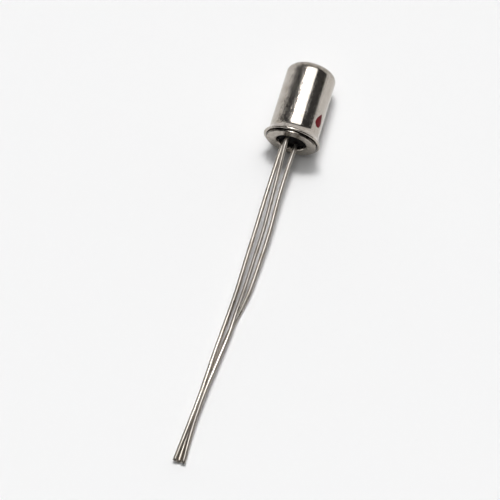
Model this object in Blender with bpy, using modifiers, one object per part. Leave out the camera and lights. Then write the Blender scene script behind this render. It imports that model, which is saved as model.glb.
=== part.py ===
"""A germanium alloy-junction transistor in a tall flanged can, lying on its side.

Metres, +Z up. The pieces are modelled around the can's own axis, with height 0 at the seating face
(the header's underside) and the can above it. An empty then lays that axis down along +Y, so the
can rests on its flange and on the edge of its closed end, and the leads run towards -Y.
"""

import math

import bmesh
import bpy
from mathutils import Matrix, Vector

MM = 0.001

# Header: a drawn eyelet with a flat flange and an upstanding wall round the glass
PIN_CIRCLE_RADIUS = 1.0 * MM
GLASS_MARGIN = 0.45 * MM
HEADER_SHEET = 0.25 * MM
EYELET_HEIGHT = 1.55 * MM
BORE_EDGE_RADIUS = 0.16 * MM
EYELET_ROOT_RADIUS = 0.15 * MM
HEADER_OVERHANG = 0.08 * MM
HEADER_EDGE_RADIUS = 0.1 * MM

# Can: a drawn shell with a rounded corner and a wall that flares into an outward flange
CAN_ROOM = 0.605 * MM
CAN_SHEET = 0.25 * MM
CAN_LENGTH = 8.73 * MM
CAN_CORNER_RADIUS = 0.9 * MM
CAN_FLARE_RADIUS = 1.2 * MM
CAN_FLANGE_WIDTH = 0.41 * MM
CAN_MOUTH_RADIUS = 0.1 * MM

# Glass seal
GLASS_RECESS = 0.45 * MM
GLASS_STEP = 0.1 * MM

# Leads
WIRE_DIAMETER = 0.47 * MM
LEAD_REACH = 36.55 * MM
EXIT_STRAIGHT = 0.3 * MM
BASE_PIN_ANGLE = math.radians(150)
PIN_SPREAD = math.radians(90)
LEAD_GAP = 0.03 * MM
FLOOR_GAP = 0.01 * MM

# Crystal and its carrier
TAB_SHEET = 0.1 * MM
TAB_WIDTH = 2.1 * MM
TAB_REACH = 0.95 * MM
TAB_CORNER_RADIUS = 0.2 * MM
TAB_HOLE_RADIUS = 0.58 * MM
CRYSTAL_HEIGHT = 3.55 * MM
BASE_POST_RISE = 0.75 * MM
SIDE_POST_DROP = 0.05 * MM
WAFER_SIDE = 1.5 * MM
WAFER_THICKNESS = 0.11 * MM
EMITTER_PELLET_RADIUS = 0.3 * MM
EMITTER_PELLET_RISE = 0.24 * MM
COLLECTOR_PELLET_RADIUS = 0.46 * MM
COLLECTOR_PELLET_RISE = 0.26 * MM
FINE_WIRE_DIAMETER = 0.12 * MM
FINE_WIRE_LAP = 0.6 * MM
FINE_WIRE_RISE = 0.25 * MM

# Red paint mark: a drop on the can's side, opposite the base lead
MARK_ANGLE = BASE_PIN_ANGLE - math.radians(180)
MARK_HEIGHT = 2.51 * MM
MARK_RADIUS = 0.46 * MM
MARK_TIP = 1.14 * MM
MARK_LEAN = math.radians(14)
MARK_THICKNESS = 0.035 * MM

# Gaps that neighbouring pieces keep
SEAM_GAP = 0.02 * MM
SEAL_GAP = 0.01 * MM
WELD_GAP = 0.02 * MM
PAINT_GAP = 0.01 * MM

# Facets
TURNED_STEPS = 72
CORNER_STEPS = 6
EDGE_STEPS = 3
HOLE_SIDES = 24
WIRE_BEVEL_STEPS = 4
FINE_WIRE_BEVEL_STEPS = 2
PATH_STEP = 0.9 * MM
FINE_PATH_STEP = 0.12 * MM
MERGE_DISTANCE = 0.001 * MM

# Sizes that follow
WIRE_RADIUS = WIRE_DIAMETER / 2
FINE_WIRE_RADIUS = FINE_WIRE_DIAMETER / 2
BORE_RADIUS = PIN_CIRCLE_RADIUS + WIRE_RADIUS + GLASS_MARGIN
EYELET_RADIUS = BORE_RADIUS + HEADER_SHEET
CAN_INNER_RADIUS = EYELET_RADIUS + CAN_ROOM
CAN_RADIUS = CAN_INNER_RADIUS + CAN_SHEET
CAN_FLANGE_RADIUS = CAN_RADIUS + CAN_FLANGE_WIDTH
CAN_RIM_RADIUS = CAN_SHEET / 2
HEADER_FLANGE_RADIUS = CAN_RADIUS + HEADER_OVERHANG
CAN_BASE = HEADER_SHEET + SEAM_GAP
CAN_TOP = CAN_BASE + CAN_LENGTH
LEAD_PITCH = WIRE_DIAMETER + LEAD_GAP
BASE_POST_HEIGHT = CRYSTAL_HEIGHT + BASE_POST_RISE
SIDE_POST_HEIGHT = CRYSTAL_HEIGHT - SIDE_POST_DROP
EMITTER_PIN_ANGLE = BASE_PIN_ANGLE + PIN_SPREAD
COLLECTOR_PIN_ANGLE = BASE_PIN_ANGLE - PIN_SPREAD

# Each lead's way along the floor: its share of the leads' reach, counted from the seating face, then
# its place sideways and its height above a wire that lies on the floor, both in lead pitches
BASE_ROUTE = [
    (0.082, -1.9, 4.39),
    (0.163, -2.04, 3.84),
    (0.272, -2.12, 3.1),
    (0.381, -2.21, 2.36),
    (0.463, -2.26, 1.81),
    (0.531, -2.47, 1.29),
    (0.599, -2.74, 1.05),
    (0.681, -3.02, 0.97),
    (0.79, -3.28, 0.98),
    (0.899, -3.83, 1.0),
    (1.0, -4.46, 0.6),
]
EMITTER_ROUTE = [
    (0.082, -0.81, 6.73),
    (0.163, -0.56, 5.8),
    (0.272, -0.33, 4.55),
    (0.381, -0.52, 3.29),
    (0.463, -0.71, 2.35),
    (0.531, -1.01, 1.55),
    (0.599, -1.18, 1.27),
    (0.681, -1.75, 1.37),
    (0.79, -2.5, 1.56),
    (0.899, -2.82, 0.92),
    (1.0, -2.61, 0.4),
]
COLLECTOR_ROUTE = [
    (0.082, 0.75, 3.61),
    (0.163, 0.7, 3.02),
    (0.272, 0.89, 2.22),
    (0.381, 0.67, 1.42),
    (0.463, 0.35, 0.82),
    (0.531, -0.48, 0.14),
    (0.599, -1.44, 0.0),
    (0.681, -2.24, 0.0),
    (0.79, -2.94, 0.0),
    (0.899, -3.43, 0.0),
    (1.0, -3.62, 0.0),
]


def clear_scene():
    for old in list(bpy.data.objects):
        bpy.data.objects.remove(old, do_unlink=True)


def new_collection(name):
    collection = bpy.data.collections.new(name)
    bpy.context.scene.collection.children.link(collection)
    return collection


def new_empty(name, parent, collection):
    empty = bpy.data.objects.new(name, None)
    empty.empty_display_size = CAN_RADIUS
    empty.parent = parent
    collection.objects.link(empty)
    return empty


def new_material(name, color, roughness, metallic):
    material = bpy.data.materials.new(name)
    material.use_nodes = True
    shader = material.node_tree.nodes["Principled BSDF"]
    shader.inputs["Base Color"].default_value = (*color, 1.0)
    shader.inputs["Roughness"].default_value = roughness
    shader.inputs["Metallic"].default_value = metallic
    return material


def add_object(name, data, material, parent, collection):
    added = bpy.data.objects.new(name, data)
    if material is not None:
        data.materials.append(material)
    added.parent = parent
    collection.objects.link(added)
    return added


def make_cutter(cutter):
    cutter.hide_render = True
    cutter.display_type = "WIRE"
    return cutter


def arc(center_r, center_z, radius, start_deg, end_deg, steps):
    """Points of an arc in the profile plane, from start to end, both included."""
    points = []
    for i in range(steps + 1):
        angle = math.radians(start_deg + (end_deg - start_deg) * i / steps)
        points.append((center_r + radius * math.cos(angle), center_z + radius * math.sin(angle)))
    return points


def turned(name, outline, closed, material, parent, collection):
    """A turned piece: a profile of (radius, height) points, spun about the Z axis.

    The profile lies half a step to the side, so a flat facet, not an edge, faces the floor.
    """
    half_step = math.pi / TURNED_STEPS
    mesh = bpy.data.meshes.new(name)
    points = [(r * math.cos(half_step), r * math.sin(half_step), z) for r, z in outline]
    edges = [(i, i + 1) for i in range(len(points) - 1)]
    if closed:
        edges.append((len(points) - 1, 0))
    mesh.from_pydata(points, edges, [])
    piece = add_object(name, mesh, material, parent, collection)
    screw = piece.modifiers.new("Turn", "SCREW")
    screw.axis = "Z"
    screw.steps = TURNED_STEPS
    screw.render_steps = TURNED_STEPS
    screw.use_merge_vertices = True
    screw.merge_threshold = MERGE_DISTANCE
    screw.use_smooth_shade = True
    return piece


def combine(piece, cutter, operation):
    cut = piece.modifiers.new("Cut " + cutter.name, "BOOLEAN")
    cut.operation = operation
    cut.solver = "EXACT"
    cut.object = cutter


def smooth_path(points, step):
    """A Catmull-Rom curve through the points, sampled about once per step."""
    padded = [points[0] * 2 - points[1]] + points + [points[-1] * 2 - points[-2]]
    path = []
    for before, start, end, after in zip(padded, padded[1:], padded[2:], padded[3:]):
        length = (end - start).length
        start_slope = (end - before) * (length / ((start - before).length + length))
        end_slope = (after - start) * (length / ((after - end).length + length))
        count = max(1, round(length / step))
        for i in range(count):
            t = i / count
            path.append(
                start * (2 * t**3 - 3 * t**2 + 1)
                + start_slope * (t**3 - 2 * t**2 + t)
                + end * (3 * t**2 - 2 * t**3)
                + end_slope * (t**3 - t**2)
            )
    path.append(points[-1])
    return path


def round_wire(name, path, radius, resolution, material, parent, collection):
    curve = bpy.data.curves.new(name, "CURVE")
    curve.dimensions = "3D"
    curve.bevel_depth = radius
    curve.bevel_resolution = resolution
    curve.use_fill_caps = True
    spline = curve.splines.new("POLY")
    spline.points.add(len(path) - 1)
    for point, place in zip(spline.points, path):
        point.co = (*place, 1.0)
    spline.use_smooth = True
    return add_object(name, curve, material, parent, collection)


def add_outline(curve, corners):
    spline = curve.splines.new("POLY")
    spline.points.add(len(corners) - 1)
    for point, (x, y) in zip(spline.points, corners):
        point.co = (x, y, 0.0, 1.0)
    spline.use_cyclic_u = True


def flat_piece(name, outlines, thickness, material, parent, collection):
    """A flat sheet: closed outlines in the XY plane, the later ones cut as holes."""
    curve = bpy.data.curves.new(name, "CURVE")
    curve.dimensions = "2D"
    curve.fill_mode = "BOTH"
    curve.extrude = thickness / 2
    for corners in outlines:
        add_outline(curve, corners)
    return add_object(name, curve, material, parent, collection)


def as_mesh(piece):
    """The same piece as a mesh with its faces welded together, for use in a Boolean."""
    bpy.context.view_layer.update()
    evaluated = piece.evaluated_get(bpy.context.evaluated_depsgraph_get())
    mesh = bpy.data.meshes.new_from_object(evaluated)
    form = bmesh.new()
    form.from_mesh(mesh)
    bmesh.ops.remove_doubles(form, verts=form.verts, dist=MERGE_DISTANCE)
    form.to_mesh(mesh)
    form.free()
    welded = bpy.data.objects.new(piece.name + "_solid", mesh)
    welded.matrix_world = piece.matrix_world
    for collection in piece.users_collection:
        collection.objects.link(welded)
    bpy.data.objects.remove(piece, do_unlink=True)
    return welded


def resting_place():
    """How far the can's axis dips towards its closed end, and how high the seating face sits.

    The floor touches the rounded edge of the can's flange and the rounded corner of its closed end.
    """
    rim_height = CAN_BASE + CAN_RIM_RADIUS
    rim_radius = CAN_FLANGE_RADIUS - CAN_RIM_RADIUS
    corner_height = CAN_TOP - CAN_CORNER_RADIUS
    corner_radius = CAN_RADIUS - CAN_CORNER_RADIUS
    along = corner_height - rim_height
    across = rim_radius - corner_radius
    slope = math.atan2(across, along)
    dip = slope - math.asin((CAN_CORNER_RADIUS - CAN_RIM_RADIUS) / math.hypot(along, across))
    lift = rim_height * math.sin(dip) + rim_radius * math.cos(dip) + CAN_RIM_RADIUS
    return dip, lift


def pin_place(angle, height):
    return Vector((PIN_CIRCLE_RADIUS * math.cos(angle), PIN_CIRCLE_RADIUS * math.sin(angle), height))


def make_can(material, parent, collection):
    """The shell: its outer flare meets the wall and the flange's rounded rim without a crease."""
    corner_r = CAN_RADIUS - CAN_CORNER_RADIUS
    corner_z = CAN_TOP - CAN_CORNER_RADIUS
    inner_corner = CAN_CORNER_RADIUS - CAN_SHEET
    rim_r = CAN_FLANGE_RADIUS - CAN_RIM_RADIUS
    rim_z = CAN_BASE + CAN_RIM_RADIUS
    flare_r = CAN_RADIUS + CAN_FLARE_RADIUS
    across = flare_r - rim_r
    between = CAN_FLARE_RADIUS + CAN_RIM_RADIUS
    flare_z = rim_z + math.sqrt(between**2 - across**2)
    meet = math.degrees(math.acos(across / between))
    mouth_r = CAN_INNER_RADIUS + CAN_MOUTH_RADIUS
    outline = [(0, CAN_TOP)]
    outline += arc(corner_r, corner_z, CAN_CORNER_RADIUS, 90, 0, 2 * CORNER_STEPS)
    outline += arc(flare_r, flare_z, CAN_FLARE_RADIUS, 180, 180 + meet, CORNER_STEPS)
    outline += arc(rim_r, rim_z, CAN_RIM_RADIUS, meet, -90, 2 * EDGE_STEPS)[1:]
    outline += arc(mouth_r, CAN_BASE + CAN_MOUTH_RADIUS, CAN_MOUTH_RADIUS, 270, 180, EDGE_STEPS)
    outline += arc(corner_r, corner_z, inner_corner, 0, 90, CORNER_STEPS)
    outline += [(0, CAN_TOP - CAN_SHEET)]
    return turned("can", outline, False, material, parent, collection)


def make_header(material, parent, collection):
    edge_r = HEADER_FLANGE_RADIUS - HEADER_EDGE_RADIUS
    root_r = EYELET_RADIUS + EYELET_ROOT_RADIUS
    bore_edge_r = BORE_RADIUS + BORE_EDGE_RADIUS
    outline = [(EYELET_RADIUS, EYELET_HEIGHT)]
    outline += arc(root_r, HEADER_SHEET + EYELET_ROOT_RADIUS, EYELET_ROOT_RADIUS, 180, 270, EDGE_STEPS)
    outline += arc(edge_r, HEADER_SHEET - HEADER_EDGE_RADIUS, HEADER_EDGE_RADIUS, 90, 0, EDGE_STEPS)
    outline += arc(edge_r, HEADER_EDGE_RADIUS, HEADER_EDGE_RADIUS, 0, -90, EDGE_STEPS)
    outline += arc(bore_edge_r, BORE_EDGE_RADIUS, BORE_EDGE_RADIUS, 270, 180, EDGE_STEPS + 1)
    outline += [(BORE_RADIUS, EYELET_HEIGHT)]
    return turned("header", outline, True, material, parent, collection)


def make_glass(material, parent, collection, cutters):
    radius = BORE_RADIUS - SEAL_GAP
    top = EYELET_HEIGHT - GLASS_STEP
    outline = [(0, top), (radius, top), (radius, GLASS_RECESS), (0, GLASS_RECESS)]
    glass = turned("glass_seal", outline, False, material, parent, collection)
    holes = {
        "emitter_hole": EMITTER_PIN_ANGLE,
        "base_hole": BASE_PIN_ANGLE,
        "collector_hole": COLLECTOR_PIN_ANGLE,
    }
    for name, angle in holes.items():
        hole = bpy.data.meshes.new(name)
        form = bmesh.new()
        bmesh.ops.create_cone(
            form,
            cap_ends=True,
            segments=HOLE_SIDES,
            radius1=WIRE_RADIUS + SEAL_GAP,
            radius2=WIRE_RADIUS + SEAL_GAP,
            depth=2 * EYELET_HEIGHT,
        )
        form.to_mesh(hole)
        form.free()
        cutter = make_cutter(add_object(name, hole, None, parent, cutters))
        cutter.location = pin_place(angle, top / 2)
        combine(glass, cutter, "DIFFERENCE")
    return glass


def lead_path(angle, post_height, route, frame_matrix):
    """A wire's path in world space: straight through the glass, then freely down to the floor."""
    seat = frame_matrix.translation
    post_top = frame_matrix @ pin_place(angle, post_height)
    free = [frame_matrix @ pin_place(angle, 0.0), frame_matrix @ pin_place(angle, -EXIT_STRAIGHT)]
    for share, side, level in route:
        height = FLOOR_GAP + WIRE_RADIUS + level * LEAD_PITCH
        free.append(Vector((side * LEAD_PITCH, seat.y - share * LEAD_REACH, height)))
    return [post_top] + smooth_path(free, PATH_STEP)


def make_leads(frame_matrix, material, parent, collection):
    plans = {
        "emitter_lead": (EMITTER_PIN_ANGLE, SIDE_POST_HEIGHT, EMITTER_ROUTE),
        "base_lead": (BASE_PIN_ANGLE, BASE_POST_HEIGHT, BASE_ROUTE),
        "collector_lead": (COLLECTOR_PIN_ANGLE, SIDE_POST_HEIGHT, COLLECTOR_ROUTE),
    }
    for name, (angle, post_height, route) in plans.items():
        path = lead_path(angle, post_height, route, frame_matrix)
        round_wire(name, path, WIRE_RADIUS, WIRE_BEVEL_STEPS, material, parent, collection)


def rounded_corners(left, right, bottom, top, radius):
    corners = []
    centers = [(right, top, 0), (left, top, 90), (left, bottom, 180), (right, bottom, 270)]
    for x, y, start in centers:
        inset_x = x - math.copysign(radius, x - (left + right) / 2)
        inset_y = y - math.copysign(radius, y - (bottom + top) / 2)
        corners += arc(inset_x, inset_y, radius, start, start + 90, EDGE_STEPS)
    return corners


def make_crystal(materials, parent, collection):
    """The tab on the base post, the crystal on the tab, a bead on each face and the fine wires.

    Here x points from the axis to the base pin, y to the emitter pin, and z up the axis.
    """
    stage = new_empty("crystal_frame", parent, collection)
    stage.location = (0, 0, CRYSTAL_HEIGHT)
    stage.rotation_euler = (0, 0, BASE_PIN_ANGLE)

    tab_face = -(WIRE_RADIUS + WELD_GAP)
    half_width = TAB_WIDTH / 2
    outer = rounded_corners(-TAB_REACH, PIN_CIRCLE_RADIUS, -half_width, half_width, TAB_CORNER_RADIUS)
    hole = arc(0, 0, TAB_HOLE_RADIUS, 0, 360 - 360 / HOLE_SIDES, HOLE_SIDES - 1)
    tab = flat_piece("base_tab", [outer, hole], TAB_SHEET, materials["nickel"], stage, collection)
    tab.rotation_euler = (math.radians(90), 0, 0)
    tab.location = (0, tab_face - TAB_SHEET / 2, 0)

    wafer_y = tab_face + WELD_GAP + WAFER_THICKNESS / 2
    wafer_mesh = bpy.data.meshes.new("germanium_wafer")
    form = bmesh.new()
    sides = Matrix.Diagonal((WAFER_SIDE, WAFER_THICKNESS, WAFER_SIDE, 1.0))
    bmesh.ops.create_cube(form, size=1.0, matrix=sides)
    form.to_mesh(wafer_mesh)
    form.free()
    wafer = add_object("germanium_wafer", wafer_mesh, materials["germanium"], stage, collection)
    wafer.location = (0, wafer_y, 0)

    plans = {
        "emitter": (1, EMITTER_PELLET_RADIUS, EMITTER_PELLET_RISE),
        "collector": (-1, COLLECTOR_PELLET_RADIUS, COLLECTOR_PELLET_RISE),
    }
    for name, (toward, radius, rise) in plans.items():
        foot = wafer_y + toward * (WAFER_THICKNESS / 2 + WELD_GAP)
        dome = [(radius * across, rise * up) for up, across in arc(0, 0, 1, 0, 90, CORNER_STEPS)]
        pellet = turned(name + "_pellet", dome + [(0, 0)], False, materials["indium"], stage, collection)
        pellet.location = (0, foot, 0)
        pellet.rotation_euler = (-toward * math.radians(90), 0, 0)

        tip = foot + toward * (rise + WELD_GAP)
        pin = toward * PIN_CIRCLE_RADIUS
        aside = WIRE_RADIUS + FINE_WIRE_RADIUS + WELD_GAP
        clear = pin - toward * aside
        post_top = SIDE_POST_HEIGHT - CRYSTAL_HEIGHT
        points = [
            Vector((-aside, pin, post_top - FINE_WIRE_LAP)),
            Vector((-aside, pin, post_top - FINE_WIRE_LAP / 3)),
            Vector((-aside, pin, post_top + FINE_WIRE_DIAMETER)),
            Vector((-aside / 2, (pin + clear) / 2, post_top + FINE_WIRE_RISE)),
            Vector((0, clear, post_top + FINE_WIRE_RISE / 2)),
            Vector((0, tip + toward * FINE_WIRE_DIAMETER, FINE_WIRE_RADIUS)),
            Vector((0, tip, 0)),
        ]
        path = smooth_path(points, FINE_PATH_STEP)
        fine_wire = name + "_wire"
        nickel = materials["nickel"]
        round_wire(fine_wire, path, FINE_WIRE_RADIUS, FINE_WIRE_BEVEL_STEPS, nickel, stage, collection)


def make_red_mark(material, parent, collection, cutters):
    """A thin patch of paint that follows the can's wall, with a drop's outline."""
    inner = CAN_RADIUS + PAINT_GAP
    outer = inner + MARK_THICKNESS
    low = MARK_HEIGHT - 2 * MARK_RADIUS
    high = MARK_HEIGHT + MARK_TIP + MARK_RADIUS
    ring = [(outer, high), (outer, low), (inner, low), (inner, high)]
    mark = turned("red_mark", ring, True, material, parent, collection)

    touch = math.degrees(math.acos(MARK_RADIUS / MARK_TIP))
    drop = arc(0, 0, MARK_RADIUS, 90 + touch, 450 - touch, 3 * CORNER_STEPS)
    drop.append((0, MARK_TIP))
    prism = flat_piece("mark_outline", [drop], CAN_RADIUS, None, parent, cutters)
    facing = Matrix.Rotation(MARK_ANGLE, 4, "Z") @ Matrix.Rotation(math.radians(90), 4, "Y")
    upright = Matrix.Rotation(math.radians(90) + MARK_LEAN, 4, "Z")
    center = Vector((CAN_RADIUS * math.cos(MARK_ANGLE), CAN_RADIUS * math.sin(MARK_ANGLE), MARK_HEIGHT))
    prism.matrix_local = Matrix.Translation(center) @ facing @ upright
    combine(mark, make_cutter(as_mesh(prism)), "INTERSECT")
    return mark


def main():
    clear_scene()
    parts = new_collection("germanium_transistor")
    cutters = new_collection("cutters")
    materials = {
        "can": new_material("plated_can", (0.5, 0.46, 0.41), 0.18, 1.0),
        "header": new_material("plated_header", (0.46, 0.42, 0.37), 0.3, 1.0),
        "glass": new_material("seal_glass", (0.01, 0.01, 0.012), 0.12, 0.0),
        "lead": new_material("tinned_wire", (0.54, 0.5, 0.45), 0.25, 1.0),
        "paint": new_material("red_paint", (0.27, 0.01, 0.02), 0.35, 0.0),
        "nickel": new_material("nickel", (0.55, 0.52, 0.47), 0.35, 1.0),
        "germanium": new_material("germanium", (0.33, 0.33, 0.35), 0.18, 1.0),
        "indium": new_material("indium", (0.68, 0.68, 0.7), 0.4, 1.0),
    }

    dip, lift = resting_place()
    ground = new_empty("transistor_ground", None, parts)
    frame = new_empty("can_frame", ground, parts)
    frame.location = (0, (LEAD_REACH - CAN_TOP) / 2, lift)
    frame.rotation_euler = (-math.radians(90) - dip, 0, 0)
    bpy.context.view_layer.update()

    make_can(materials["can"], frame, parts)
    make_header(materials["header"], frame, parts)
    make_glass(materials["glass"], frame, parts, cutters)
    make_red_mark(materials["paint"], frame, parts, cutters)
    make_crystal(materials, frame, parts)
    make_leads(frame.matrix_world.copy(), materials["lead"], ground, parts)


main()
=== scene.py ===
"""The looks of a germanium transistor that lies on a pale floor: a scuffed plated can on its header,
black seal glass, three tinned wire leads and a drop of red paint."""

import math

import bmesh
import bpy
from mathutils import Euler, Matrix, Vector, noise


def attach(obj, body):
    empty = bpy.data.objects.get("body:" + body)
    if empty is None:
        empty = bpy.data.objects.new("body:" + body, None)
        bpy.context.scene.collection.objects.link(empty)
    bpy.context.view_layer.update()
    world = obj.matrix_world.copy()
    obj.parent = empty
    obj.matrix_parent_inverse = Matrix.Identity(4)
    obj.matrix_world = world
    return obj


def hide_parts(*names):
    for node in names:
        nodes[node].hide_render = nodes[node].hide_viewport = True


MM = 0.001

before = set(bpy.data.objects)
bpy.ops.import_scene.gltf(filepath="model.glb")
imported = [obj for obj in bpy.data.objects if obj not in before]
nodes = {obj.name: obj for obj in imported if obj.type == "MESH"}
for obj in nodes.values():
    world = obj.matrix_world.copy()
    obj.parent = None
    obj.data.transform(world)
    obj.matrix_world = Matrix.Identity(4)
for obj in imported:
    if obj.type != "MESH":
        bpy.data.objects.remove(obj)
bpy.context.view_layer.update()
scene = bpy.context.scene

# Sizes of the part, in millimetres, as in its solids
PIN_CIRCLE = 1.0
BORE = 1.685
EYELET = 1.935
EYELET_HEIGHT = 1.55
HEADER_SHEET = 0.25
HEADER_FLANGE = 2.87
BORE_EDGE = 0.16
EYELET_ROOT = 0.15
RIM_EDGE = 0.1
CAN_BASE = 0.27
CAN_TOP = 9.0
CAN_SHEET = 0.25
CAN_RADIUS = 2.79
CAN_FLANGE = 3.2
CAN_CORNER = 0.9
CAN_RIM = 0.125
CAN_FLARE = 1.2
CAN_MOUTH = 0.1
GLASS_RECESS = 0.45
GLASS_TOP = 1.45
WIRE_RADIUS = 0.235
LEAD_REACH = 36.55
LEAD_PITCH = 0.5
FLOOR_GAP = 0.01
EXIT_STRAIGHT = 0.3
BASE_POST = 4.3
SIDE_POST = 3.5
BASE_PIN = math.radians(150)
EMITTER_PIN = math.radians(240)
COLLECTOR_PIN = math.radians(60)
SEAT_Y = (LEAD_REACH - CAN_TOP) / 2
SEAT_Z = 3.2166
DIP = math.radians(3.0380)

# The can's own frame: its axis is Z, with height 0 at the seating face
CAN_SEAT = (0.0, SEAT_Y * MM, SEAT_Z * MM)
CAN_TURN = (-math.radians(90) - DIP, 0.0, 0.0)
CAN_PLACE = Matrix.LocRotScale(Vector(CAN_SEAT), Euler(CAN_TURN), None)

# Turned pieces keep inside the facets of their solids
SOLID_SIDES = 72
TUCK = math.cos(math.pi / SOLID_SIDES)

# How finely straight stretches of a profile and of a wire are divided, in millimetres
MM_PER_FACET = 0.15
PATH_STEP = 0.25

# What only the looks have, in millimetres: glass that climbs walls and wires, uneven sheet and wire
CAN_RIPPLE = 0.004
GLASS_GAP = 0.01
BORE_CLIMB, BORE_FADE = 0.1, 0.12
WIRE_CLIMB, WIRE_FADE = 0.09, 0.1
HOLE_GAP = 0.004
WIRE_UNEVEN = 0.012
TIP_FLARE, TIP_LENGTH = 0.07, 0.35
TIP_INSET = 0.12
TIP_STEP, TIP_DOME = 0.012, 0.02

# The drop of paint, as the photograph shows it: wider than its solid, and leaning the other way
DROP_TURN = math.radians(-33.0)
DROP_HEIGHT = 2.52
DROP_RADIUS = 0.53
DROP_TIP = 1.12
DROP_LEAN = math.radians(-9)
DROP_BULGE = 0.1
DROP_WOBBLE = 0.09
WOBBLE_SCALE, WOBBLE_SEED = 1.7, 4.2
DROP_RISE, DROP_EDGE, DROP_SINK = 0.036, 0.004, 0.03


# Node helpers


def node(tree, kind, inputs=None, **settings):
    """A shader node; an input that is a socket is linked, and any other value is set."""
    made = tree.nodes.new("ShaderNode" + kind)
    for key, value in settings.items():
        setattr(made, key, value)
    for key, value in (inputs or {}).items():
        if isinstance(value, bpy.types.NodeSocket):
            tree.links.new(value, made.inputs[key])
        else:
            made.inputs[key].default_value = value
    return made


def math_of(tree, operation, a, b=0.0):
    return node(tree, "Math", {0: a, 1: b}, operation=operation).outputs[0]


def chained(tree, operation, values):
    total = values[0]
    for value in values[1:]:
        total = math_of(tree, operation, total, value)
    return total


def product(tree, *values):
    return chained(tree, "MULTIPLY", values)


def added(tree, *values):
    return chained(tree, "ADD", values)


def ramp(tree, value, low, high, start=0.0, end=1.0):
    """value mapped smoothly from low..high to start..end, and held outside."""
    inputs = {"Value": value, "From Min": low, "From Max": high, "To Min": start, "To Max": end}
    return node(tree, "MapRange", inputs, interpolation_type="SMOOTHSTEP").outputs[0]


def band(tree, value, rise, fall):
    """1 between the two pairs of limits, rising across the first pair and falling across the second."""
    return product(tree, ramp(tree, value, *rise), ramp(tree, value, *fall, 1.0, 0.0))


def noise_of(tree, vector, scale, detail=3.0, rough=0.55, warp=0.0):
    inputs = {"Vector": vector, "Scale": scale, "Detail": detail, "Roughness": rough, "Distortion": warp}
    return node(tree, "TexNoise", inputs).outputs["Fac"]


def stretched(tree, vector, x, y, z):
    return node(tree, "Mapping", {"Vector": vector, "Scale": (x, y, z)}).outputs[0]


def mixed(tree, factor, a, b):
    """A colour between a and b."""
    return node(tree, "Mix", {0: factor, 6: a, 7: b}, data_type="RGBA").outputs[2]


def bump(tree, height, strength, distance, normal=None):
    inputs = {"Height": height, "Strength": strength, "Distance": distance}
    if normal is not None:
        inputs["Normal"] = normal
    return node(tree, "Bump", inputs).outputs[0]


def new_material(name, on_can=False):
    """A material with its tree, its shader and the place to lay patterns on, along the can's axis if so."""
    material = bpy.data.materials.new(name)
    material.use_nodes = True
    tree = material.node_tree
    tree.nodes.clear()
    shader = node(tree, "BsdfPrincipled")
    node(tree, "OutputMaterial", {"Surface": shader.outputs[0]})
    place = node(tree, "TexCoord").outputs["Object"]
    if on_can:
        inputs = {"Vector": place, "Location": CAN_SEAT, "Rotation": CAN_TURN}
        place = node(tree, "Mapping", inputs, vector_type="TEXTURE").outputs[0]
    return material, tree, shader, place


def plug(tree, shader, **sockets):
    for name, value in sockets.items():
        tree.links.new(value, shader.inputs[name.replace("_", " ")])


# Materials

# Colours, in linear light
CAN_CLEAN = (0.5, 0.46, 0.415, 1)
CAN_DULL = (0.4, 0.355, 0.3, 1)
CAN_SPECK = (0.24, 0.2, 0.16, 1)
CAN_TARNISH = (0.26, 0.23, 0.19, 1)
SOOT = (0.1, 0.09, 0.078, 1)
# Painted shade for the seam between the can's flange and the header
SEAM_SHADE = (0.035, 0.03, 0.025, 1)
HEADER_CLEAN = (0.47, 0.43, 0.38, 1)
HEADER_DULL = (0.34, 0.3, 0.25, 1)
WIRE_CLEAN = (0.56, 0.52, 0.47, 1)
WIRE_DULL = (0.4, 0.355, 0.3, 1)
WIRE_SPECK = (0.16, 0.14, 0.12, 1)
WIRE_TINT = (0.12, 0.11, 0.095, 1)
GLASS_DARK = (0.0015, 0.0015, 0.002, 1)
GLASS_PALE = (0.004, 0.0037, 0.0035, 1)
PAINT_THIN = (0.18, 0.005, 0.011, 1)
PAINT_DEEP = (0.085, 0.003, 0.007, 1)
PAINT_DUST = (0.4, 0.16, 0.14, 1)
CRYSTAL_DARK = (0.3, 0.3, 0.33, 1)
CRYSTAL_PALE = (0.38, 0.37, 0.37, 1)
NICKEL_CLEAN = (0.55, 0.51, 0.45, 1)
NICKEL_DULL = (0.42, 0.38, 0.33, 1)
INDIUM_CLEAN = (0.66, 0.66, 0.68, 1)
INDIUM_DULL = (0.52, 0.52, 0.53, 1)
FLOOR_DARK = (0.915, 0.915, 0.917, 1)
FLOOR_PALE = (0.925, 0.925, 0.925, 1)

# The rubbed side of the can, by the angle round its axis, and where its scuffs grow weaker
RUBBED_FROM = (math.radians(-150), math.radians(-128))
RUBBED_TO = (math.radians(-103), math.radians(-88))
SCUFFED_TO = (math.radians(-114), math.radians(-100))

# Heights between which the shoulder tarnishes, and between which the painted shade in the seam ends
TARNISHED = (7.95 * MM, 8.5 * MM)
SEAM_END = (0.28 * MM, 0.34 * MM)

# How far the painted seam shade reaches in and out from the header's edge, in millimetres
SEAM_IN, SEAM_OUT = 0.07, 0.06


def scratches(tree, place, scale, stretch, width, warp):
    """Fine dark lines on white: the creases of a stretched, warped noise."""
    lines = noise_of(tree, stretched(tree, place, *stretch), scale, detail=1.0, warp=warp)
    centred = math_of(tree, "ABSOLUTE", math_of(tree, "SUBTRACT", lines, 0.5))
    return ramp(tree, centred, 0.0, width)


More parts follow.
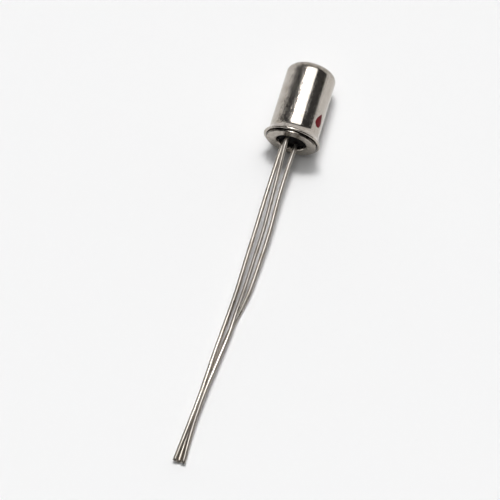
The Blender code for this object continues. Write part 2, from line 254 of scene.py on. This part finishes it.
def seam_painted_shade(tree, place, color, inner, outer):
    """The colour with painted shade, in patches, where the distance from the can's axis is between inner and
    outer (mm), near the seating face.
    """
    flat = node(tree, "VectorMath", {0: place, 1: (1, 1, 0)}, operation="MULTIPLY").outputs[0]
    away = node(tree, "VectorMath", {0: flat}, operation="LENGTH").outputs["Value"]
    height = node(tree, "SeparateXYZ", {0: place}).outputs[2]
    rise = ((inner - 0.04) * MM, (inner + 0.03) * MM)
    fall = ((outer - 0.03) * MM, (outer + 0.04) * MM)
    ring = product(tree, band(tree, away, rise, fall), ramp(tree, height, *SEAM_END, 1.0, 0.0))
    patches = ramp(tree, noise_of(tree, place, 1200, detail=4.0), 0.3, 0.6, 0.45, 1.0)
    return mixed(tree, product(tree, ring, patches), color, SEAM_SHADE)


def plated_metal(name, clean, dull, polish, satin, wear, on_can=True, seam=None):
    """Thin bright plating on drawn sheet: clouded tarnish, fine scuffs, pits and hairline scratches."""
    material, tree, shader, place = new_material(name, on_can)
    clouds = noise_of(tree, place, 900, detail=6.0, rough=0.62)
    specks = noise_of(tree, place, 9000, detail=2.0)
    grime = ramp(tree, clouds, 0.42, 0.72)
    color = mixed(tree, grime, clean, dull)
    color = mixed(tree, ramp(tree, specks, 0.62, 0.75, 0.0, 0.35), color, dull)
    # Painted shade in the seam by the header's edge, where a seam is given
    if seam:
        color = seam_painted_shade(tree, place, color, *seam)
    around = scratches(tree, place, 1400, (1.0, 1.0, 0.22), 0.02, 0.6)
    along = scratches(tree, place, 900, (1.0, 1.0, 4.0), 0.012, 0.9)
    rough = ramp(tree, noise_of(tree, place, 2600, detail=4.0), 0.35, 0.7, polish, satin)
    rough = added(tree, rough, ramp(tree, grime, 0.0, 1.0, 0.0, 0.05))
    fine = noise_of(tree, place, 6500, detail=4.0, rough=0.65)
    broad = noise_of(tree, place, 1100, detail=3.0)
    normal = bump(tree, broad, wear, 0.00003)
    normal = bump(tree, fine, wear, 0.000006, normal)
    normal = bump(tree, product(tree, around, along), 0.35 * wear, 0.000002, normal)
    plug(tree, shader, Base_Color=color, Roughness=rough, Normal=normal)
    shader.inputs["Metallic"].default_value = 1.0
    return material


def can_metal():
    """The can's plating, with a side that handling has rubbed."""
    material, tree, shader, place = new_material("plated_can_worn", on_can=True)
    split = node(tree, "SeparateXYZ", {0: place})
    turn = math_of(tree, "ARCTAN2", split.outputs[1], split.outputs[0])
    patch = band(tree, turn, RUBBED_FROM, RUBBED_TO)
    clouds = noise_of(tree, place, 700, detail=6.0, rough=0.62)
    specks = noise_of(tree, place, 8000, detail=2.0)
    blotches = noise_of(tree, stretched(tree, place, 1.0, 1.0, 0.6), 2300, detail=4.0, rough=0.6)
    grime = ramp(tree, clouds, 0.45, 0.75)
    color = mixed(tree, grime, CAN_CLEAN, CAN_DULL)
    color = mixed(tree, ramp(tree, specks, 0.58, 0.7, 0.0, 0.5), color, CAN_SPECK)
    shoulder = ramp(tree, split.outputs[2], *TARNISHED)
    tarnish = product(tree, shoulder, ramp(tree, blotches, 0.3, 0.6, 0.25, 0.85))
    color = mixed(tree, tarnish, color, CAN_TARNISH)
    grain = noise_of(tree, place, 5200, detail=4.0, rough=0.7)
    soot = product(tree, ramp(tree, blotches, 0.35, 0.65), ramp(tree, grain, 0.44, 0.6))
    color = mixed(tree, product(tree, patch, soot), color, SOOT)
    # Painted shade in the seam under the can's flange, out past the header's edge
    color = seam_painted_shade(tree, place, color, CAN_RADIUS - CAN_SHEET, HEADER_FLANGE + SEAM_OUT)
    film = ramp(tree, noise_of(tree, place, 3400, detail=5.0, rough=0.65), 0.4, 0.66, 1.0, 0.935)

    rough = ramp(tree, noise_of(tree, place, 2200, detail=4.0), 0.35, 0.7, 0.07, 0.13)
    rough = added(tree, rough, product(tree, patch, 0.02))

    hair = scratches(tree, place, 1500, (1.0, 1.0, 0.2), 0.02, 0.6)
    nicks = scratches(tree, place, 800, (1.0, 1.0, 3.5), 0.01, 1.2)
    lines = product(tree, hair, nicks)
    fine = noise_of(tree, place, 5200, detail=4.0, rough=0.65)
    broad = noise_of(tree, place, 900, detail=2.0)
    rubbed = product(tree, patch, blotches)
    worn = product(tree, patch, ramp(tree, turn, *SCUFFED_TO, 1.0, 0.35))
    scuffs = product(tree, worn, noise_of(tree, place, 6500, detail=5.0, rough=0.7))
    normal = bump(tree, broad, 0.4, 0.00001)
    normal = bump(tree, fine, 0.6, 0.0000016, normal)
    normal = bump(tree, rubbed, 0.9, 0.00004, normal)
    normal = bump(tree, scuffs, 1.0, 0.00002, normal)
    normal = bump(tree, lines, 0.6, 0.0000024, normal)
    plug(tree, shader, Base_Color=color, Roughness=rough, Normal=normal, Metallic=film)
    return material


def wire_metal():
    """Tinned wire: lines left by drawing, thin tin that is duller in patches, a few dark specks."""
    material, tree, shader, place = new_material("tinned_wire_drawn")
    place = node(tree, "Attribute", attribute_name="lay").outputs["Vector"]
    lines = noise_of(tree, stretched(tree, place, 1.0, 1.0, 0.03), 9000, detail=3.0)
    patches = noise_of(tree, stretched(tree, place, 1.0, 1.0, 0.35), 1500, detail=5.0, rough=0.6)
    specks = noise_of(tree, place, 7000, detail=2.0)
    dull = ramp(tree, patches, 0.45, 0.7)
    color = mixed(tree, dull, WIRE_CLEAN, WIRE_DULL)
    color = mixed(tree, ramp(tree, specks, 0.66, 0.76, 0.0, 0.6), color, WIRE_SPECK)
    rough = ramp(tree, patches, 0.3, 0.7, 0.27, 0.35)
    normal = bump(tree, lines, 0.1, 0.000001)
    normal = bump(tree, patches, 0.1, 0.000004, normal)
    plug(tree, shader, Base_Color=color, Roughness=rough, Normal=normal)
    shader.inputs["Metallic"].default_value = 1.0
    shader.inputs["Specular Tint"].default_value = WIRE_TINT
    return material


def seal_glass():
    """Black sealing glass with a fire-polished skin and a few seeds."""
    material, tree, shader, place = new_material("seal_glass_black", on_can=True)
    waves = noise_of(tree, place, 1500, detail=3.0)
    seeds = node(tree, "TexVoronoi", {"Vector": place, "Scale": 3500.0}).outputs["Distance"]
    color = mixed(tree, waves, GLASS_DARK, GLASS_PALE)
    normal = bump(tree, waves, 0.4, 0.00002)
    normal = bump(tree, ramp(tree, seeds, 0.02, 0.14), 0.3, 0.000004, normal)
    rough = ramp(tree, waves, 0.3, 0.7, 0.3, 0.5)
    plug(tree, shader, Base_Color=color, Roughness=rough, Normal=normal)
    shader.inputs["IOR"].default_value = 1.5
    shader.inputs["Specular IOR Level"].default_value = 0.04
    return material


def red_paint():
    """Thick crimson lacquer, darker where it is deep, with dust in it."""
    material, tree, shader, place = new_material("red_paint_gloss", on_can=True)
    pools = noise_of(tree, place, 1800, detail=4.0)
    dust = noise_of(tree, place, 12000, detail=2.0)
    color = mixed(tree, ramp(tree, pools, 0.35, 0.7), PAINT_THIN, PAINT_DEEP)
    color = mixed(tree, ramp(tree, dust, 0.68, 0.78, 0.0, 0.4), color, PAINT_DUST)
    normal = bump(tree, pools, 0.5, 0.00001)
    rough = ramp(tree, dust, 0.4, 0.7, 0.4, 0.6)
    plug(tree, shader, Base_Color=color, Roughness=rough, Normal=normal)
    shader.inputs["Specular IOR Level"].default_value = 0.12
    return material


def crystal():
    """Etched germanium: grey metal with shallow etch pits."""
    material, tree, shader, place = new_material("germanium_etched")
    pits = node(tree, "TexVoronoi", {"Vector": place, "Scale": 9000.0}).outputs["Distance"]
    haze = noise_of(tree, place, 2500, detail=4.0)
    color = mixed(tree, haze, CRYSTAL_DARK, CRYSTAL_PALE)
    normal = bump(tree, ramp(tree, pits, 0.05, 0.5), 0.5, 0.000004)
    plug(tree, shader, Base_Color=color, Roughness=ramp(tree, haze, 0.3, 0.7, 0.12, 0.3), Normal=normal)
    shader.inputs["Metallic"].default_value = 1.0
    return material


# Mesh helpers


def arc(center_r, center_z, radius, start_deg, end_deg, steps):
    points = []
    for i in range(steps + 1):
        angle = math.radians(start_deg + (end_deg - start_deg) * i / steps)
        points.append((center_r + radius * math.cos(angle), center_z + radius * math.sin(angle)))
    return points


def line(start, end, steps):
    """Points between start and end, without the ends."""
    return [
        (start[0] + (end[0] - start[0]) * i / steps, start[1] + (end[1] - start[1]) * i / steps)
        for i in range(1, steps)
    ]


def joined(*runs):
    """Runs of profile points, with the straight stretches between them divided finely."""
    points = list(runs[0])
    for run in runs[1:]:
        gap = math.dist(points[-1], run[0])
        points += line(points[-1], run[0], max(1, round(gap / MM_PER_FACET)))
        points += run
    return points


def add_piece(name, mesh, material, stands_for):
    mesh.materials.append(material)
    piece = bpy.data.objects.new(name, mesh)
    scene.collection.objects.link(piece)
    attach(piece, "root")
    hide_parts(stands_for)
    return piece


def finish_mesh(name, form, on_can=True):
    if on_can:
        bmesh.ops.transform(form, matrix=CAN_PLACE, verts=form.verts)
    bmesh.ops.recalc_face_normals(form, faces=form.faces)
    for face in form.faces:
        face.smooth = True
    mesh = bpy.data.meshes.new(name)
    form.to_mesh(mesh)
    form.free()
    return mesh


def bridge(form, a, b):
    """Faces between two rings of the same count."""
    count = len(a)
    for k in range(count):
        n = (k + 1) % count
        form.faces.new((a[k], a[n], b[n], b[k]))


def spin(name, profile, closed, sides, shift=None):
    """A turned mesh of (radius, height) points; shift moves a point by its angle and height."""
    form = bmesh.new()
    rings = []
    for r, z in profile:
        if r < 1e-6:
            rings.append([form.verts.new((0, 0, z * MM))])
            continue
        ring = []
        for k in range(sides):
            angle = 2 * math.pi * k / sides
            reach = (r * TUCK - (shift(angle, r, z) if shift else 0.0)) * MM
            ring.append(form.verts.new((reach * math.cos(angle), reach * math.sin(angle), z * MM)))
        rings.append(ring)
    pairs = list(zip(rings, rings[1:]))
    if closed:
        pairs.append((rings[-1], rings[0]))
    for a, b in pairs:
        if len(a) == len(b):
            bridge(form, a, b)
            continue
        for k in range(sides):
            n = (k + 1) % sides
            if len(a) == 1:
                form.faces.new((a[0], b[n], b[k]))
            else:
                form.faces.new((a[k], a[n], b[0]))
    return finish_mesh(name, form)


def smooth_path(points, step):
    """A Catmull-Rom curve through the points, sampled about once per step."""
    padded = [points[0] * 2 - points[1]] + points + [points[-1] * 2 - points[-2]]
    path = []
    for before, start, end, after in zip(padded, padded[1:], padded[2:], padded[3:]):
        length = (end - start).length
        start_slope = (end - before) * (length / ((start - before).length + length))
        end_slope = (after - start) * (length / ((after - end).length + length))
        count = max(1, round(length / step))
        for i in range(count):
            t = i / count
            path.append(
                start * (2 * t**3 - 3 * t**2 + 1)
                + start_slope * (t**3 - 2 * t**2 + t)
                + end * (3 * t**2 - 2 * t**3)
                + end_slope * (t**3 - t**2)
            )
    path.append(points[-1])
    return path


# Turned pieces


def can_ripple(angle, r, z):
    """How far the can's wall lies inside its round, from the unevenness that drawing leaves."""
    spot = Vector((r * math.cos(angle), r * math.sin(angle), z * 0.6))
    return CAN_RIPPLE * (1 + noise.noise(spot * 0.9))


def make_can():
    corner_r, corner_z = CAN_RADIUS - CAN_CORNER, CAN_TOP - CAN_CORNER
    edge_r, edge_z = CAN_FLANGE - CAN_RIM, CAN_BASE + CAN_RIM
    flare_r = CAN_RADIUS + CAN_FLARE
    across = flare_r - edge_r
    flare_z = edge_z + math.sqrt((CAN_FLARE + CAN_RIM) ** 2 - across**2)
    meet = math.degrees(math.acos(across / (CAN_FLARE + CAN_RIM)))
    mouth_r = CAN_RADIUS - CAN_SHEET + CAN_MOUTH
    profile = joined(
        [(0, CAN_TOP)],
        arc(corner_r, corner_z, CAN_CORNER, 90, 0, 24),
        arc(flare_r, flare_z, CAN_FLARE, 180, 180 + meet, 20),
        arc(edge_r, edge_z, CAN_RIM, meet, -90, 14),
        arc(mouth_r, CAN_BASE + CAN_MOUTH, CAN_MOUTH, 270, 180, 6),
        arc(corner_r, corner_z, CAN_CORNER - CAN_SHEET, 0, 90, 8),
        [(0, CAN_TOP - CAN_SHEET)],
    )
    mesh = spin("can_shell", profile, False, 160, can_ripple)
    return add_piece("can_shell", mesh, can_metal(), "can")


def make_header():
    edge_r = HEADER_FLANGE - RIM_EDGE
    profile = joined(
        [(EYELET, EYELET_HEIGHT)],
        arc(EYELET + EYELET_ROOT, HEADER_SHEET + EYELET_ROOT, EYELET_ROOT, 180, 270, 8),
        arc(edge_r, HEADER_SHEET - RIM_EDGE, RIM_EDGE, 90, 0, 8),
        arc(edge_r, RIM_EDGE, RIM_EDGE, 0, -90, 8),
        arc(BORE + BORE_EDGE, BORE_EDGE, BORE_EDGE, 270, 180, 10),
        [(BORE, EYELET_HEIGHT)],
        [(EYELET, EYELET_HEIGHT)],
    )[:-1]
    mesh = spin("header_eyelet", profile, True, 144)
    # The header's edge takes painted shade where it meets the can's flange
    seam = (HEADER_FLANGE - SEAM_IN, HEADER_FLANGE)
    metal = plated_metal("plated_header_satin", HEADER_CLEAN, HEADER_DULL, 0.16, 0.32, 0.5, seam=seam)
    return add_piece("header_eyelet", mesh, metal, "header")


def pin_at(angle):
    return Vector((PIN_CIRCLE * math.cos(angle), PIN_CIRCLE * math.sin(angle)))


def make_glass():
    """A disc of glass that climbs a little up the bore and up each wire."""
    pins = [pin_at(a) for a in (EMITTER_PIN, BASE_PIN, COLLECTOR_PIN)]
    edge = BORE - GLASS_GAP
    sides, rings = 96, 30
    form = bmesh.new()

    def climb(x, y):
        rise = BORE_CLIMB * math.exp(-(edge - math.hypot(x, y)) / BORE_FADE)
        for pin in pins:
            away = max(0.0, math.hypot(x - pin.x, y - pin.y) - WIRE_RADIUS)
            rise += WIRE_CLIMB * math.exp(-away / WIRE_FADE)
        return rise

    def face_rings(height, toward):
        made = [[form.verts.new((0, 0, (height + toward * climb(0, 0)) * MM))]]
        for i in range(1, rings + 1):
            r = edge * i / rings
            ring = []
            for k in range(sides):
                x, y = r * math.cos(2 * math.pi * k / sides), r * math.sin(2 * math.pi * k / sides)
                ring.append(form.verts.new((x * MM, y * MM, (height + toward * climb(x, y)) * MM)))
            made.append(ring)
        return made

    lower, upper = face_rings(GLASS_RECESS, -1), face_rings(GLASS_TOP, 1)
    for face in (lower, upper):
        for k in range(sides):
            form.faces.new((face[0][0], face[1][k], face[1][(k + 1) % sides]))
        for a, b in zip(face[1:], face[2:]):
            bridge(form, a, b)
    bridge(form, lower[-1], upper[-1])
    mesh = finish_mesh("glass_bead", form)
    glass = add_piece("glass_bead", mesh, seal_glass(), "glass_seal")
    for pin in pins:
        form = bmesh.new()
        radius = (WIRE_RADIUS + HOLE_GAP) * MM
        bmesh.ops.create_cone(form, cap_ends=True, segments=48, radius1=radius, radius2=radius, depth=4 * MM)
        bmesh.ops.translate(form, verts=form.verts, vec=(pin.x * MM, pin.y * MM, MM))
        hole = bpy.data.objects.new("hole", finish_mesh("hole", form))
        scene.collection.objects.link(hole)
        cut = glass.modifiers.new("Hole", "BOOLEAN")
        cut.operation = "DIFFERENCE"
        cut.solver = "EXACT"
        cut.object = hole
        apply_modifiers(glass)
        bpy.data.objects.remove(hole, do_unlink=True)
    return glass


def apply_modifiers(piece):
    bpy.context.view_layer.update()
    evaluated = piece.evaluated_get(bpy.context.evaluated_depsgraph_get())
    mesh = bpy.data.meshes.new_from_object(evaluated)
    piece.modifiers.clear()
    old = piece.data
    piece.data = mesh
    bpy.data.meshes.remove(old)


# Leads

# Each lead's way: its share of the leads' reach from the seating face, then its place sideways and its height
# above a wire that lies on the floor, both in lead pitches
BASE_ROUTE = [
    (0.082, -1.9, 4.39),
    (0.163, -2.04, 3.84),
    (0.272, -2.12, 3.1),
    (0.381, -2.21, 2.36),
    (0.463, -2.26, 1.81),
    (0.531, -2.47, 1.29),
    (0.599, -2.74, 1.05),
    (0.681, -3.02, 0.97),
    (0.79, -3.28, 0.98),
    (0.899, -3.83, 1.0),
    (1.0, -4.46, 0.6),
]
EMITTER_ROUTE = [
    (0.082, -0.81, 6.73),
    (0.163, -0.56, 5.8),
    (0.272, -0.33, 4.55),
    (0.381, -0.52, 3.29),
    (0.463, -0.71, 2.35),
    (0.531, -1.01, 1.55),
    (0.599, -1.18, 1.27),
    (0.681, -1.75, 1.37),
    (0.79, -2.5, 1.56),
    (0.899, -2.82, 0.92),
    (1.0, -2.61, 0.4),
]
COLLECTOR_ROUTE = [
    (0.082, 0.75, 3.61),
    (0.163, 0.7, 3.02),
    (0.272, 0.89, 2.22),
    (0.381, 0.67, 1.42),
    (0.463, 0.35, 0.82),
    (0.531, -0.48, 0.14),
    (0.599, -1.44, 0.0),
    (0.681, -2.24, 0.0),
    (0.79, -2.94, 0.0),
    (0.899, -3.43, 0.0),
    (1.0, -3.62, 0.0),
]


def lead_points(angle, post, route):
    """A lead's middle line in millimetres: straight through the glass, then freely down to the floor."""
    pin = pin_at(angle)

    def at(height):
        return CAN_PLACE @ Vector((pin.x * MM, pin.y * MM, height * MM)) / MM

    start = at(0.0)
    free = [start, at(-EXIT_STRAIGHT)]
    for share, side, level in route:
        height = FLOOR_GAP + WIRE_RADIUS + level * LEAD_PITCH
        free.append(Vector((side * LEAD_PITCH, SEAT_Y - share * LEAD_REACH, height)))
    top, steps = at(post), 8
    inside = [top.lerp(start, i / steps) for i in range(steps)]
    return inside + smooth_path(free, PATH_STEP)


def make_lead(name, node_name, angle, post, route, material):
    path = lead_points(angle, post, route)
    sides = 24
    form = bmesh.new()
    lay = form.verts.layers.float_vector.new("lay")
    rings = []
    up = Vector((0, 0, 1))
    count = len(path)
    total = sum((b - a).length for a, b in zip(path, path[1:]))
    run = 0.0
    for i, point in enumerate(path):
        if i:
            run += (point - path[i - 1]).length
        ahead = path[min(i + 1, count - 1)] - path[max(i - 1, 0)]
        along = ahead.normalized()
        side = along.cross(up).normalized()
        lift = side.cross(along).normalized()
        left = total - run
        flare = TIP_FLARE * max(0.0, 1 - left / TIP_LENGTH) ** 2
        ring = []
        for k in range(sides):
            turn = 2 * math.pi * k / sides
            across, over = math.cos(turn), math.sin(turn)
            spot = Vector((point.x + across, point.y * 0.7, over + 10 * len(name)))
            radius = WIRE_RADIUS * (1 + WIRE_UNEVEN * noise.noise(spot * 1.3))
            offset = side * (across * radius * (1 + flare)) + lift * (over * radius * (1 - flare))
            vert = form.verts.new((point + offset) * MM)
            vert[lay] = Vector((across * WIRE_RADIUS, over * WIRE_RADIUS, run)) * MM
            ring.append(vert)
        rings.append(ring)
    for a, b in zip(rings, rings[1:]):
        bridge(form, a, b)
    ends = ((rings[0], path[0], path[0] - path[1]), (rings[-1], path[-1], path[-1] - path[-2]))
    for ring, center, outward in ends:
        inset = []
        for vert in ring:
            inward = (center * MM - vert.co) * TIP_INSET
            inset.append(form.verts.new(vert.co + inward + outward.normalized() * TIP_STEP * MM))
            inset[-1][lay] = vert[lay]
        bridge(form, ring, inset)
        middle = form.verts.new(center * MM + outward.normalized() * TIP_DOME * MM)
        for k in range(sides):
            form.faces.new((inset[k], inset[(k + 1) % sides], middle))
    mesh = finish_mesh(name, form, on_can=False)
    return add_piece(name, mesh, material, node_name)


def make_leads():
    material = wire_metal()
    make_lead("emitter_wire_lead", "emitter_lead", EMITTER_PIN, SIDE_POST, EMITTER_ROUTE, material)
    make_lead("base_wire_lead", "base_lead", BASE_PIN, BASE_POST, BASE_ROUTE, material)
    make_lead("collector_wire_lead", "collector_lead", COLLECTOR_PIN, SIDE_POST, COLLECTOR_ROUTE, material)


# Paint


def make_paint():
    """A drop of lacquer with its outline laid on the can's wall, thick in the middle and thin at its edge."""
    touch = math.acos(DROP_RADIUS / DROP_TIP)
    sides, rings = 72, 12
    form = bmesh.new()

    def edge(turn):
        """How far the outline lies from the drop's middle, with the tip at turn 0."""
        turn = (turn + math.pi) % (2 * math.pi) - math.pi
        reach = DROP_RADIUS
        if abs(turn) < touch:
            swell = 1 + DROP_BULGE * math.sin(math.pi * abs(turn) / touch)
            reach = DROP_RADIUS / math.cos(touch - abs(turn)) * swell
        spot = Vector((math.cos(turn) * WOBBLE_SCALE, math.sin(turn) * WOBBLE_SCALE, WOBBLE_SEED))
        wobble = noise.noise(spot)
        return reach * (1 + DROP_WOBBLE * wobble)

    def on_can(across, up, height):
        x = across * math.cos(DROP_LEAN) - up * math.sin(DROP_LEAN)
        z = across * math.sin(DROP_LEAN) + up * math.cos(DROP_LEAN)
        turn = DROP_TURN + x / CAN_RADIUS
        r = CAN_RADIUS + height
        return (r * math.cos(turn) * MM, r * math.sin(turn) * MM, (DROP_HEIGHT + z) * MM)

    layers = {}
    for layer in ("top", "back"):
        made = []
        for i in range(rings + 1):
            share = i / rings
            ring = []
            for k in range(sides if i else 1):
                turn = 2 * math.pi * k / sides
                reach = edge(turn) * share
                across, up = math.sin(turn) * reach, math.cos(turn) * reach
                height = DROP_RISE * math.sqrt(max(0.0, 1 - share**3)) + DROP_EDGE
                if layer == "back":
                    height = -DROP_SINK
                ring.append(form.verts.new(on_can(across, up, height)))
            made.append(ring)
        for k in range(sides):
            form.faces.new((made[0][0], made[1][k], made[1][(k + 1) % sides]))
        for a, b in zip(made[1:], made[2:]):
            bridge(form, a, b)
        layers[layer] = made
    bridge(form, layers["top"][-1], layers["back"][-1])
    mesh = finish_mesh("paint_drop", form)
    return add_piece("paint_drop", mesh, red_paint(), "red_mark")


# Inner pieces that keep their solids


def dress_inner():
    nickel = plated_metal("nickel_sheet", NICKEL_CLEAN, NICKEL_DULL, 0.2, 0.36, 0.4)
    indium = plated_metal("indium_bead", INDIUM_CLEAN, INDIUM_DULL, 0.3, 0.5, 0.7)
    finishes = {
        "base_tab": nickel,
        "emitter_wire": nickel,
        "collector_wire": nickel,
        "emitter_pellet": indium,
        "collector_pellet": indium,
        "germanium_wafer": crystal(),
    }
    for name, material in finishes.items():
        nodes[name].data.materials.clear()
        nodes[name].data.materials.append(material)


# Studio

FLOOR_HALF = 4.0


def make_floor():
    mesh = bpy.data.meshes.new("floor")
    form = bmesh.new()
    bmesh.ops.create_grid(form, x_segments=1, y_segments=1, size=FLOOR_HALF)
    form.to_mesh(mesh)
    form.free()
    floor = bpy.data.objects.new("floor", mesh)
    scene.collection.objects.link(floor)
    material, tree, shader, place = new_material("floor_paper")
    fibres = noise_of(tree, place, 1500, detail=4.0)
    color = mixed(tree, fibres, FLOOR_DARK, FLOOR_PALE)
    plug(tree, shader, Base_Color=color, Normal=bump(tree, fibres, 0.1, 0.00002))
    shader.inputs["Roughness"].default_value = 0.9
    shader.inputs["Specular IOR Level"].default_value = 0.1
    mesh.materials.append(material)


# How bright each part of the studio is
PANEL_LIGHT = 2.5
KEY_LIGHT = 56.6
FRONT_LIGHT = 2.9
SWEEP_LIGHT = 0.8
DARK_LIGHT = 0.04
LEFT_LIGHT = 0.08
SEEN_BACKGROUND = 0.92

# Where each light rises and falls, as its place across and back over its height
PANEL_ACROSS = ((-0.7, -0.05), (0.415, 0.435))
PANEL_BACK = ((0.18, 0.36), (0.6, 1.15))
KEY_ACROSS = ((-0.38, -0.2), (-0.1, 0.12))
KEY_BACK = ((0.3, 0.38), (0.42, 0.54))
FRONT_ACROSS = ((-0.45, -0.25), (0.05, 0.2))
FRONT_BACK = ((-0.22, -0.1), (0.15, 0.35))

# The sweep fills what lies under this slope
SWEEP_ACROSS, SWEEP_BACK, SWEEP_START = 0.044, 0.876, 0.196


def make_world():
    """A soft studio: a panel overhead, a bright lamp in it, a weak one in front, a pale sweep, dark sides."""
    world = bpy.data.worlds.new("studio")
    scene.world = world
    world.use_nodes = True
    tree = world.node_tree
    tree.nodes.clear()
    split = node(tree, "SeparateXYZ", {0: node(tree, "TexCoord").outputs["Generated"]})
    x, y, z = split.outputs
    rise = math_of(tree, "MAXIMUM", z, 0.02)
    across = math_of(tree, "DIVIDE", x, rise)
    back = math_of(tree, "DIVIDE", y, rise)
    above = ramp(tree, z, 0.0, 0.02)

    def lamp(sideways, backward, strength):
        return product(tree, band(tree, across, *sideways), band(tree, back, *backward), above, strength)

    panel = lamp(PANEL_ACROSS, PANEL_BACK, PANEL_LIGHT)
    key = lamp(KEY_ACROSS, KEY_BACK, KEY_LIGHT)
    front = lamp(FRONT_ACROSS, FRONT_BACK, FRONT_LIGHT)
    behind = math_of(tree, "SUBTRACT", product(tree, y, SWEEP_BACK), SWEEP_START)
    slope = added(tree, product(tree, x, SWEEP_ACROSS), behind)
    under_sweep = math_of(tree, "SUBTRACT", math_of(tree, "MAXIMUM", slope, 0.0), z)
    sweep = product(tree, ramp(tree, under_sweep, -0.01, 0.01), SWEEP_LIGHT)
    sides = ramp(tree, x, -0.4, 0.2, LEFT_LIGHT, DARK_LIGHT)
    light = added(tree, panel, key, front, sweep, sides)
    path = node(tree, "LightPath").outputs
    mirrored = math_of(tree, "MAXIMUM", path["Is Glossy Ray"], path["Is Transmission Ray"])
    low = ramp(tree, z, 0.05, 0.1, 1.0, 0.0)
    seen = math_of(tree, "MAXIMUM", path["Is Camera Ray"], product(tree, mirrored, low))
    studio = node(tree, "Background", {"Color": (1, 1, 1, 1), "Strength": light})
    pale = node(tree, "Background", {"Color": (1, 1, 1, 1), "Strength": SEEN_BACKGROUND})
    shown = node(tree, "MixShader", {0: seen, 1: studio.outputs[0], 2: pale.outputs[0]})
    node(tree, "OutputWorld", {"Surface": shown.outputs[0]})


# The photograph's view: how far right of the leads' end and above the floor it stands, how far off in
# millimetres, the focal length and width in pixels, and the point on the floor that it looks at
VIEW_TURN = math.radians(16.3)
VIEW_RISE = math.radians(73.6)
VIEW_DISTANCE = 186.84
VIEW_FOCAL = 1710.0
VIEW_WIDTH = 500.0
VIEW_TARGET = (-1.068, 1.699, 0)
SENSOR_WIDTH = 36.0


def make_camera():
    turn, rise = VIEW_TURN, VIEW_RISE
    toward = Vector((math.sin(turn) * math.cos(rise), -math.cos(turn) * math.cos(rise), math.sin(rise)))
    right = Vector((math.cos(turn), math.sin(turn), 0))
    up = toward.cross(right)
    half_pixel = 0.5 * VIEW_DISTANCE / VIEW_FOCAL
    target = Vector(VIEW_TARGET) - right * half_pixel + up * half_pixel
    data = bpy.data.cameras.new("camera")
    data.sensor_width = SENSOR_WIDTH
    data.lens = VIEW_FOCAL / VIEW_WIDTH * SENSOR_WIDTH
    data.clip_start, data.clip_end = 0.01, 20.0
    camera = bpy.data.objects.new("camera", data)
    camera.location = (target + toward * VIEW_DISTANCE) * MM
    camera.rotation_mode = "QUATERNION"
    camera.rotation_quaternion = (-toward).to_track_quat("-Z", "Y")
    scene.collection.objects.link(camera)
    scene.camera = camera


scene.view_settings.view_transform = "Standard"
make_camera()
make_world()
make_floor()
make_can()
make_header()
make_glass()
make_leads()
make_paint()
dress_inner()

bpy.context.view_layer.update()
